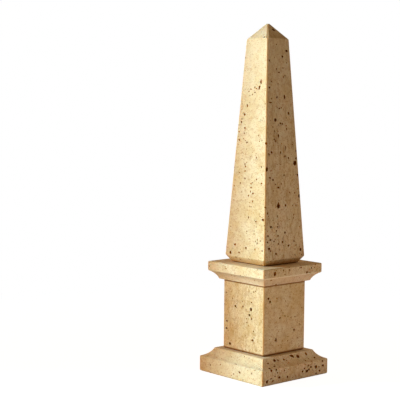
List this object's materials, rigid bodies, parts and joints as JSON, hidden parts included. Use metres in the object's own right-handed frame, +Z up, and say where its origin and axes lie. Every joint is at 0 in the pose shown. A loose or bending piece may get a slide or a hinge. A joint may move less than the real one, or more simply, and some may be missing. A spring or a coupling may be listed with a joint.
{
  "type": "stone desk obelisk",
  "caption": "Honed travertine desk obelisk: coved square base, plain die, coved cap and tapered shaft with a pointed top, stacked on thin adhesive beds.",
  "frame": {"origin": "centre of the base's square underside, on the surface that the obelisk stands on", "axes": "+Z up the shaft to the point, X and Y square to the four sides"},
  "size_m": [0.1, 0.1, 0.3805],
  "materials": {
    "travertine": "matte",
    "adhesive": "matte"
  },
  "bodies": {
    "root": {"base": "travertine", "base_bed": "adhesive", "die": "travertine", "die_bed": "adhesive", "cap": "travertine", "shaft_bed": "adhesive", "shaft": "travertine"}
  },
  "joints": []
}
